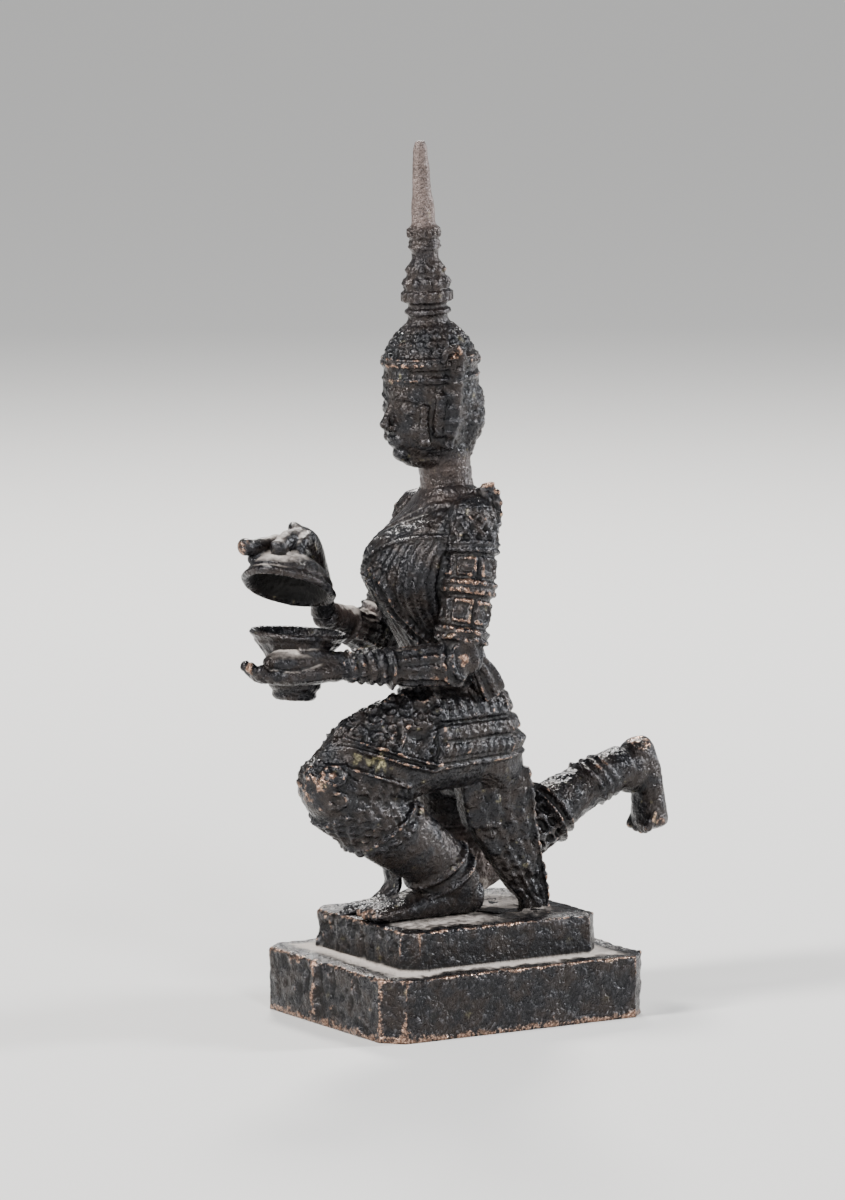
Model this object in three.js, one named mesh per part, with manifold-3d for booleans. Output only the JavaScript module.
// Kneeling deity figure that lifts the lid of a footed bowl, cast in one piece with its plinth.
// Millimetres, +Z up. The figure faces -Y and its left side is +X.
// The origin is the middle of the plinth's underside, on the surface that it stands on.
import * as THREE from "three";
import { mergeVertices } from "three/addons/utils/BufferGeometryUtils.js";
import Module from "manifold-3d";

const wasm = await Module();
wasm.setup();

// Driving dimensions
const TOTAL_HEIGHT = 130;
const LOWER_STEP = { width: 37.2, length: 45.7, height: 9.35, chamfer: 2.9 };
const UPPER_STEP = { width: 27.9, length: 33.8, height: 5.9, chamfer: 2.1 };
const LEDGE = LOWER_STEP.height + UPPER_STEP.height;
const EDGE_WEAR = 0.35;

const CROWN_LEAN = 3.3;
const CROWN_BAND_Z = 95.2;
const CROWN_CENTRE_Y = -4.3;
const PETALS = 9;

const BOWL_SIDES = 16;
const BOWL = { centre: new THREE.Vector3(0, -27.8, 49), rim: 6.95, height: 10.1, tilt: 4 };
const LID = { centre: new THREE.Vector3(0, -28.9, 65.1), rim: 6.8, height: 5.4 };
const LID_AXIS = new THREE.Vector3(-0.261, 0.396, 0.88).normalize();

const SHOULDER_TWIST = THREE.MathUtils.degToRad(-9);
const BAND_RISE = 0.45;
const BELT_RISE = 0.7;
const SASH_WIDTH = 5.2;
const CUFF_EDGE = 0.006;
const CUFF_MARGIN = 0.04;
const FOLD_DEPTH = 0.5;
const DOME_RING = Math.PI / 4;
const ACROSS_X = new THREE.Vector3(1, 0, 0);
const UP = new THREE.Vector3(0, 0, 1);
const ASLANT = new THREE.Vector3(1, 0.31, 0.2);

const BRONZE = new THREE.MeshStandardMaterial({ color: 0x26221f, roughness: 0.5, metalness: 0.85 });

// Joins
// A closed geometry becomes a solid: its doubled corners are merged and flat triangles dropped.
function solid(geometry) {
  const bare = geometry.index ? geometry.toNonIndexed() : geometry.clone();
  for (const name of Object.keys(bare.attributes)) {
    if (name !== "position") bare.deleteAttribute(name);
  }
  const merged = mergeVertices(bare, 1e-4);
  const corners = merged.index.array;
  const kept = [];
  for (let i = 0; i < corners.length; i += 3) {
    const [a, b, c] = [corners[i], corners[i + 1], corners[i + 2]];
    if (a !== b && b !== c && c !== a) kept.push(a, b, c);
  }
  return new wasm.Manifold(
    new wasm.Mesh({
      numProp: 3,
      vertProperties: new Float32Array(merged.attributes.position.array),
      triVerts: new Uint32Array(kept),
    }),
  );
}

function join(...forms) {
  return forms.flat().reduce((whole, form) => whole.add(form));
}

function geometryOf(form) {
  const mesh = form.getMesh();
  const geometry = new THREE.BufferGeometry();
  geometry.setAttribute("position", new THREE.BufferAttribute(mesh.vertProperties, 3));
  geometry.setIndex(new THREE.BufferAttribute(mesh.triVerts, 1));
  return geometry;
}

// Lofts
// A knot is one cross-section of a limb: its middle, its half width and its half depth.
function knot(x, y, z, wide, deep = wide) {
  return { at: new THREE.Vector3(x, y, z), size: new THREE.Vector3(wide, deep, 0) };
}

// Places of the rings along a loft, from 0 to 1: even steps, and a sharp rise and fall at each cuff.
function ringPlaces(rings, cuffs, rise) {
  const places = [];
  for (let i = 0; i <= rings; i++) {
    const t = i / rings;
    const inCuff = cuffs.some(([from, to]) => t > from - CUFF_MARGIN && t < to + CUFF_MARGIN);
    if (!inCuff) places.push([t, 0]);
  }
  for (const [from, to] of cuffs) {
    places.push([from, 0], [from + CUFF_EDGE, rise], [to - CUFF_EDGE, rise], [to, 0]);
  }
  return places.sort((a, b) => a[0] - b[0]);
}

// Rings follow a smooth curve through the knots. Each ring is an oval, turned about +Z by the
// twist as it rises, and its ends close in a dome as long as a share of the end's half width.
// A cuff is a short stretch that stands out all round, such as a belt, an armlet or an anklet.
function loft(knots, options = {}) {
  const { sides = 12, rings = 6, across = ACROSS_X, level = false, twist = 0 } = options;
  const { cuffs = [], rise = BAND_RISE, swell = 0, domes = [0.8, 0.8], relief = () => 0 } = options;
  const path = new THREE.CatmullRomCurve3(knots.map((k) => k.at));
  const sizes = new THREE.CatmullRomCurve3(knots.map((k) => k.size));
  const wayAt = (t) => (level ? UP.clone() : path.getTangent(t));

  function ringAt(t, lift, shift, shrink) {
    const along = wayAt(t);
    const aside = across.clone().applyAxisAngle(UP, twist * t);
    const side = aside.addScaledVector(along, -aside.dot(along)).normalize();
    const front = along.clone().cross(side);
    const size = sizes.getPoint(t);
    const centre = path.getPoint(t).addScaledVector(along, shift);
    const points = [];
    for (let i = 0; i < sides; i++) {
      const angle = (i / sides) * 2 * Math.PI;
      const out = relief(t, i / sides) + lift + swell;
      const wide = Math.cos(angle) * (size.x + out) * shrink;
      const deep = Math.sin(angle) * (size.y + out) * shrink;
      points.push(centre.clone().addScaledVector(side, wide).addScaledVector(front, deep));
    }
    return points;
  }

  const start = sizes.getPoint(0).x * domes[0];
  const end = sizes.getPoint(1).x * domes[1];
  const all = ringPlaces(rings, cuffs, rise).map(([t, lift]) => ringAt(t, lift, 0, 1));
  if (start) all.unshift(ringAt(0, 0, -start * Math.cos(DOME_RING), Math.sin(DOME_RING)));
  if (end) all.push(ringAt(1, 0, end * Math.cos(DOME_RING), Math.sin(DOME_RING)));
  const tail = path.getPoint(0).addScaledVector(wayAt(0), -start);
  const tip = path.getPoint(1).addScaledVector(wayAt(1), end);
  return solid(skin(all, tail, tip));
}

// A closed skin over rings of equal point counts, with a pole before the first and after the last.
function skin(rings, tail, tip) {
  const sides = rings[0].length;
  const corners = [tail, ...rings.flat(), tip];
  const index = [];
  const at = (ring, i) => 1 + ring * sides + (i % sides);
  for (let i = 0; i < sides; i++) index.push(0, at(0, i + 1), at(0, i));
  for (let r = 0; r + 1 < rings.length; r++) {
    for (let i = 0; i < sides; i++) {
      index.push(at(r, i), at(r, i + 1), at(r + 1, i + 1));
      index.push(at(r, i), at(r + 1, i + 1), at(r + 1, i));
    }
  }
  const lastRing = rings.length - 1;
  const pole = corners.length - 1;
  for (let i = 0; i < sides; i++) index.push(pole, at(lastRing, i), at(lastRing, i + 1));
  const geometry = new THREE.BufferGeometry().setFromPoints(corners);
  geometry.setIndex(index);
  return geometry;
}

function ball(x, y, z, rx, ry = rx, rz = rx, detail = 6) {
  const geometry = new THREE.SphereGeometry(1, detail, Math.ceil(detail * 0.6));
  return solid(geometry.rotateX(Math.PI / 2).scale(rx, ry, rz).translate(x, y, z));
}

// A bead-like limb between two points, with its own end sizes.
function rod(from, to, r0, r1 = r0, sides = 6) {
  return loft([knot(...from, r0), knot(...to, r1)], { sides, rings: 1, across: ASLANT });
}

// A slab is the space between two planes, thick along its normal, used to keep a band of a form.
function slab(centre, normal, thick, reach = 60) {
  const box = new THREE.BoxGeometry(reach, reach, thick);
  const turn = new THREE.Quaternion().setFromUnitVectors(UP, normal.clone().normalize());
  return solid(box.applyQuaternion(turn).translate(...centre));
}

// A profile of (radius, height) pairs turned round +Z.
function turned(profile, segments) {
  const points = profile.map(([r, z]) => new THREE.Vector2(r, z));
  return new THREE.LatheGeometry(points, segments).rotateX(Math.PI / 2);
}

// Plinth
// One step: a block with cut corners and a worn top edge.
function step(size, base) {
  const outline = (inset) => {
    const x = size.width / 2 - inset;
    const y = size.length / 2 - inset;
    const c = size.chamfer - inset * 0.5;
    const rightHalf = [
      [x - c, -y],
      [x, -y + c],
      [x, y - c],
      [x - c, y],
    ];
    const leftHalf = rightHalf.map(([across, along]) => [-across, -along]);
    return [...rightHalf, ...leftHalf];
  };
  const ring = (inset, z) => outline(inset).map(([x, y]) => new THREE.Vector3(x, y, z));
  const top = base + size.height;
  const rings = [ring(0, base), ring(0, top - EDGE_WEAR), ring(EDGE_WEAR, top)];
  return solid(skin(rings, new THREE.Vector3(0, 0, base), new THREE.Vector3(0, 0, top)));
}

function plinth() {
  const lump = ball(-2.4, -22.4, 5.2, 1.3, 0.9, 3.4);
  return join(step(LOWER_STEP, 0), step(UPPER_STEP, LOWER_STEP.height - 0.01), lump);
}

// Torso, from the seat up to the neck's root
const TORSO_SIDES = 24;
const TORSO = [
  knot(0, 3.4, 33.5, 6.6, 5.4),
  knot(0, 2.3, 37, 9, 7.8),
  knot(0, 1.2, 41, 9.4, 8.2),
  knot(0, -0.4, 47.5, 8.7, 7.3),
  knot(0, -2.4, 54.5, 6.8, 5.9),
  knot(0, -4.2, 59.5, 7.7, 6.9),
  knot(0, -5.9, 65.5, 9, 8.3),
  knot(0, -5.4, 70.5, 9.4, 7.2),
  knot(0, -2.6, 74.8, 9, 5),
  knot(0, -1.3, 78.2, 5.4, 4.2),
];

// The dress hangs in upright folds over the front of the chest, between the sash and the waist.
function chestFolds(t, turn) {
  const front = turn > 0.52 && turn < 0.98;
  const between = t > 0.5 && t < 0.84;
  if (!front || !between) return 0;
  return Math.round(turn * TORSO_SIDES) % 2 ? FOLD_DEPTH : -FOLD_DEPTH / 2;
}

// The trunk, with the belts round the hips and the wide sash that falls from the left shoulder.
function torso() {
  const shape = { sides: TORSO_SIDES, rings: 10, level: true, domes: [0.35, 0.3], twist: SHOULDER_TWIST };
  const belts = [
    [0.13, 0.19],
    [0.24, 0.3],
    [0.34, 0.39],
  ];
  const body = loft(TORSO, { ...shape, cuffs: belts, rise: BELT_RISE, relief: chestFolds });
  const sash = slab([4, -6, 71.5], new THREE.Vector3(-0.5, 0.52, 0.69), SASH_WIDTH);
  return join(body, loft(TORSO, { ...shape, swell: BAND_RISE }).intersect(sash));
}

// Limbs
const RAISED_THIGH = [
  knot(4.2, 3, 42, 5.6, 7.4),
  knot(5.6, -8, 42, 5.9, 7.6),
  knot(6.2, -18.5, 39.9, 5.6, 7.2),
  knot(6.1, -25, 36, 5, 5.6),
];
const RAISED_SHIN = [
  knot(6.1, -25, 35.4, 4.9, 4.8),
  knot(5.2, -15.4, 29.8, 5.2, 5.4),
  knot(4.2, -6.6, 24, 4.2, 4.6),
  knot(3.2, -1.4, 19.4, 3.4, 3.6),
];
const STANDING_FOOT = [
  knot(3.2, 0.4, 18, 3, 2.7),
  knot(2.9, -5, 18, 3.3, 2.9),
  knot(2.4, -11, 16.9, 3.6, 1.9),
  knot(2, -15.6, 16.2, 3.1, 1.2),
];
const KNEELING_THIGH = [
  knot(-4.4, 3, 41, 5.6, 7),
  knot(-6, 3.6, 30, 5.4, 6.2),
  knot(-7.4, 5, 20.6, 5, 5.2),
];
const KNEELING_SHIN = [
  knot(-7.5, 5.6, 20.5, 5, 5.2),
  knot(-8, 13, 23.4, 4.7, 4.9),
  knot(-8, 21, 27.2, 4.2, 4.2),
  knot(-8, 29, 31, 3.5, 3.4),
  knot(-8, 34.8, 33, 3.3, 3.3),
];
const HANGING_FOOT = [
  knot(-8, 37.6, 35, 2.7, 2.6),
  knot(-8, 39.2, 30.6, 2.8, 2.5),
  knot(-8, 40.6, 26, 3, 2.2),
  knot(-8, 41.1, 23.8, 2.8, 1.8),
];

function legs() {
  const thigh = { sides: 12, rings: 5, domes: [0, 0.9] };
  const shin = { sides: 10, rings: 5, domes: [0, 0.4] };
  const foot = { sides: 8, rings: 3, domes: [0.7, 0.5] };
  const kneeBand = [[0.6, 0.7]];
  const anklet = [[0.84, 0.93]];
  const hemAndAnklet = [
    [0.32, 0.49],
    [0.8, 0.9],
  ];
  return join(
    loft(RAISED_THIGH, { ...thigh, cuffs: kneeBand }),
    loft(RAISED_SHIN, { ...shin, cuffs: anklet }),
    loft(STANDING_FOOT, foot),
    loft(KNEELING_THIGH, thigh),
    loft(KNEELING_SHIN, { ...shin, cuffs: hemAndAnklet }),
    loft(HANGING_FOOT, foot),
  );
}

// Cloth
// The stiff end of cloth that hangs from the left hip to the plinth: an upright panel with folds.
function clothPanel() {
  const levels = [
    { z: LEDGE - 0.4, front: 7.4, back: 13, middle: 3.6, half: 1.5 },
    { z: 21, front: 3.6, back: 12.6, middle: 3.9, half: 1.7 },
    { z: 29, front: -1.6, back: 11.1, middle: 4.6, half: 2 },
    { z: 37, front: -3.4, back: 8.8, middle: 5.2, half: 2.4 },
  ];
  const folds = 5;
  const perFold = 2;
  const steps = folds * perFold;
  const rings = levels.map(({ z, front, back, middle, half }) => {
    const outer = [];
    const inner = [];
    for (let i = 0; i <= steps; i++) {
      const y = front + ((back - front) * i) / steps;
      const wave = (i % perFold) * 0.55;
      outer.push(new THREE.Vector3(middle + half - wave, y, z));
      inner.unshift(new THREE.Vector3(middle - half + wave, y, z));
    }
    return [...outer, ...inner];
  });
  const low = new THREE.Vector3(3.6, 10.2, LEDGE - 0.4);
  const high = new THREE.Vector3(5.2, 3.5, 37);
  return solid(skin(rings, low, high));
}

// The narrow front end of cloth: it drops beside the shin, curls forward and lies on the plinth.
function clothStrip() {
  const curl = [
    knot(-2.2, -4.4, 40, 2.2, 1.2),
    knot(-3.8, -8, 32, 2.1, 0.9),
    knot(-4.8, -8.8, 24, 2, 0.8),
    knot(-5, -7.9, 19, 2, 0.7),
    knot(-5, -10.4, 16.6, 2.1, 0.8),
    knot(-5, -14, 16.1, 1.9, 0.9),
    knot(-5.2, -16.4, 15.4, 0.8, 0.5),
  ];
  return loft(curl, { sides: 6, rings: 8, domes: [0, 0.6] });
}

// Arms
const LEFT_UPPER_ARM = [
  knot(9.5, -3.1, 75.2, 3.6),
  knot(10.9, -4.4, 66, 3.5),
  knot(11.9, -7, 54.6, 3.3),
];
const LEFT_FOREARM = [
  knot(11.9, -7.4, 54.2, 3.3),
  knot(9.4, -15.5, 54, 2.6),
  knot(6.4, -23.4, 54.3, 2),
];
const RIGHT_UPPER_ARM = [
  knot(-8.7, -0.6, 74.4, 3.5),
  knot(-10.3, -3, 65.4, 3.4),
  knot(-11.9, -6.4, 55.6, 3.3),
];
const RIGHT_FOREARM = [
  knot(-11.9, -6.6, 55.4, 3.2),
  knot(-9.2, -12.8, 57.8, 2.6),
  knot(-6.3, -19, 60.3, 2),
];

function arm(upper, fore) {
  const armlets = [
    [0.2, 0.29],
    [0.5, 0.59],
    [0.8, 0.89],
  ];
  const bracelets = [
    [0.68, 0.78],
    [0.86, 0.96],
  ];
  return join(
    loft(upper, { sides: 10, rings: 4, domes: [0.9, 0.7], cuffs: armlets }),
    loft(fore, { sides: 8, rings: 2, domes: [0, 0], cuffs: bracelets }),
  );
}

// The upturned tip of cloth over each shoulder, with a flap that runs down behind it.
function epaulette(side, shoulder) {
  const { x, y, z } = shoulder.at;
  const flap = [
    knot(x - side * 2.6, y + 0.6, z + 1.6, 1.5, 2.2),
    knot(x - side * 0.4, y + 2, z + 3.2, 1.1, 2),
    knot(x + side * 0.5, y + 3.4, z + 5, 0.7, 0.6),
  ];
  const edge = [
    knot(x + side * 0.5, y + 3.3, z + 4.8, 0.7, 0.6),
    knot(x + side * 1.9, y + 3.9, z + 1.6, 1.6, 0.7),
    knot(x + side * 2, y + 3.3, z - 1.6, 1.4, 0.8),
    knot(x + side * 1.7, y + 2.4, z - 3.6, 0.9, 0.7),
  ];
  return [flap, edge].map((knots) => loft(knots, { sides: 6, rings: 3, domes: [0.4, 0.5] }));
}

// Hands
function lowerHand() {
  const palm = [
    knot(6.4, -23, 54.2, 2, 1.9),
    knot(5, -28, 53.4, 3.1, 2),
    knot(3.4, -33.2, 53.2, 2.7, 1.7),
    knot(2.6, -36.8, 54, 1.9, 1.1),
  ];
  const thumb = rod([6.9, -24, 55.4], [5.6, -31, 56.2], 1.2, 0.9);
  const tips = [
    [3.6, -36.4, 54.2],
    [1.4, -36.8, 54.4],
  ].map(([x, y, z]) => rod([x, y + 3, z - 0.8], [x, y - 0.6, z + 0.5], 1, 0.8));
  return join(loft(palm, { sides: 8, rings: 4, domes: [0.6, 0.5] }), thumb, tips);
}

function upperHand() {
  const palm = [
    knot(-6.3, -19, 60.3, 2, 1.9),
    knot(-5, -20.4, 66, 2.7, 1.8),
    knot(-3.8, -22.6, 71.2, 2.8, 1.8),
    knot(-2.4, -26, 72.6, 2.4, 1.7),
    knot(-0.8, -28.8, 70.6, 1.8, 1.3),
  ];
  const across = new THREE.Vector3(0.75, -0.66, 0);
  const index = rod([-2.8, -25.4, 72.2], [-1.5, -34.9, 71.6], 1.2, 1.1);
  const knuckle = ball(-1.5, -35.1, 71.7, 1.4);
  const middle = rod([-2, -26.6, 72.6], [1.4, -31, 71.9], 1.4, 1.4);
  return join(loft(palm, { sides: 8, rings: 5, domes: [0, 0.8], across }), index, knuckle, middle);
}

// Bowl and lid
function bowl() {
  const profile = [
    [0, 0],
    [2.6, 0],
    [3.5, 2.2],
    [3.9, 4],
    [5.1, 6.1],
    [6.3, 8],
    [BOWL.rim, 9.6],
    [BOWL.rim, BOWL.height],
    [6.3, BOWL.height - 0.1],
    [5.6, 8.4],
    [4.4, 6.6],
    [2.6, 5.3],
    [0, 5],
  ];
  const tilt = THREE.MathUtils.degToRad(-BOWL.tilt);
  return solid(turned(profile, BOWL_SIDES).rotateX(tilt).translate(...BOWL.centre));
}

function lid() {
  const profile = [
    [0, 3.9],
    [2.6, 3.4],
    [4.5, 2.1],
    [6.1, 0],
    [LID.rim, 0.1],
    [LID.rim, 0.9],
    [5.6, 2.6],
    [3.4, 4.9],
    [2.9, LID.height],
    [0, LID.height],
  ];
  const turn = new THREE.Quaternion().setFromUnitVectors(new THREE.Vector3(0, 0, 1), LID_AXIS);
  return solid(turned(profile, BOWL_SIDES).applyQuaternion(turn).translate(...LID.centre));
}

// Head
const HEAD = [
  knot(0, -5.6, 83.4, 3.4, 3.6),
  knot(0, -5, 86, 5.2, 5.8),
  knot(0, -4.5, 90, 6, 6.9),
  knot(0, -4.3, 94, 6.2, 7.1),
  knot(0, -4.3, 97, 6, 6.9),
];

// A calm, regular face: the eye line half way up the head, the nose and lips on equal thirds.
function face() {
  const bridge = [knot(0, -11, 91.2, 0.6, 0.5), knot(0, -12.1, 87.9, 1.2, 0.9)];
  const nose = loft(bridge, { sides: 6, rings: 1, domes: [0.6, 0.6] });
  const lips = [ball(0, -10.6, 86.4, 1.6, 0.9, 0.45), ball(0, -10.4, 85.6, 1.3, 0.9, 0.5)];
  const chin = ball(0, -9, 83.9, 1.6, 1.2, 1.2);
  const eyes = [-1, 1].map((side) => ball(side * 2.6, -10, 90.3, 1.5, 0.9, 0.6));
  const brows = [-1, 1].map((side) => {
    return rod([side * 0.9, -11, 91.8], [side * 4, -9.6, 92], 0.5, 0.4, 5);
  });
  return [nose, lips, chin, eyes, brows].flat();
}

// The flame-shaped ornament that stands out over each ear and runs down to the jaw.
function earOrnament(side) {
  const leaf = [
    knot(side * 5.2, -4.7, 85.4, 0.8, 1),
    knot(side * 6.1, -4.2, 89, 0.9, 1.7),
    knot(side * 6.5, -4, 93.6, 0.9, 1.3),
    knot(side * 7.2, -4.4, 97.4, 0.8, 1.5),
    knot(side * 7.6, -3.9, 99.4, 0.6, 0.8),
  ];
  const drop = rod([side * 5, -8.6, 90.4], [side * 4.9, -8.4, 86.2], 0.6, 0.8, 6);
  return [loft(leaf, { sides: 6, rings: 4, domes: [0.8, 0.8] }), drop];
}

function head() {
  const skull = loft(HEAD, { sides: 16, rings: 5, level: true, domes: [0.5, 0] });
  const throat = [knot(0, -1, 76, 4.3), knot(0, -1.7, 80.4, 3.9), knot(0, -2.6, 86, 4.1)];
  const neck = loft(throat, { sides: 10, rings: 2, domes: [0, 0] });
  const hair = ball(0, 0.2, 89.5, 4.9, 3.6, 5.6);
  return join(skull, neck, hair, face(), earOrnament(1), earOrnament(-1));
}

// Crown
// Radii up the crown, from the brow band through the bell and the petal tiers to the spire's tip.
function crownProfile() {
  const tip = TOTAL_HEIGHT - CROWN_BAND_Z;
  return [
    [0, -0.6],
    [7.1, -0.4],
    [7.1, 0.9],
    [6.7, 1.3],
    [7.1, 1.7],
    [7.1, 3.2],
    [6.6, 3.7],
    [5.8, 5.7],
    [4.6, 7],
    [3.4, 8],
    [2.85, 9],
    [3.3, 10],
    [3.2, 11.2],
    [3.75, 11.6],
    [3.7, 12.6],
    [3.1, 13.1],
    [3.3, 13.4],
    [2.7, 15.4],
    [2.15, 17.2],
    [2.15, 18.5],
    [2.4, 18.9],
    [2.4, 19.9],
    [2.15, 20.2],
    [2.5, 20.6],
    [2.4, 22],
    [1.95, 22.5],
    [1.1, tip - 1.1],
    [0.8, tip - 0.15],
    [0, tip],
  ];
}

// Petals swell the tiers between two heights, so their rims run in scallops.
function scallop(geometry, low, high, depth) {
  const place = geometry.attributes.position;
  for (let i = 0; i < place.count; i++) {
    const z = place.getZ(i);
    if (z < low || z > high) continue;
    const angle = Math.atan2(place.getY(i), place.getX(i));
    const swell = 1 + depth * Math.cos(PETALS * angle);
    place.setXY(i, place.getX(i) * swell, place.getY(i) * swell);
  }
  return geometry;
}

function crown() {
  const spin = scallop(turned(crownProfile(), PETALS * 2), 11, 15.3, 0.04);
  const lean = THREE.MathUtils.degToRad(CROWN_LEAN);
  const body = solid(spin.rotateX(lean).translate(0, CROWN_CENTRE_Y, CROWN_BAND_Z));
  const front = ball(0, CROWN_CENTRE_Y - 7, CROWN_BAND_Z + 2.2, 1.1, 0.7, 1.2);
  const rear = ball(0, CROWN_CENTRE_Y + 7.5, CROWN_BAND_Z + 2.2, 1, 1.1, 1);
  return join(body, front, rear);
}

// The whole casting
const casting = join(
  plinth(),
  torso(),
  legs(),
  clothPanel(),
  clothStrip(),
  arm(LEFT_UPPER_ARM, LEFT_FOREARM),
  arm(RIGHT_UPPER_ARM, RIGHT_FOREARM),
  epaulette(1, LEFT_UPPER_ARM[0]),
  epaulette(-1, RIGHT_UPPER_ARM[0]),
  lowerHand(),
  upperHand(),
  bowl(),
  lid(),
  head(),
  crown(),
);

const figure = new THREE.Group();
const deity = new THREE.Mesh(geometryOf(casting), BRONZE);
deity.name = "kneeling_deity";
figure.add(deity);

export default figure;
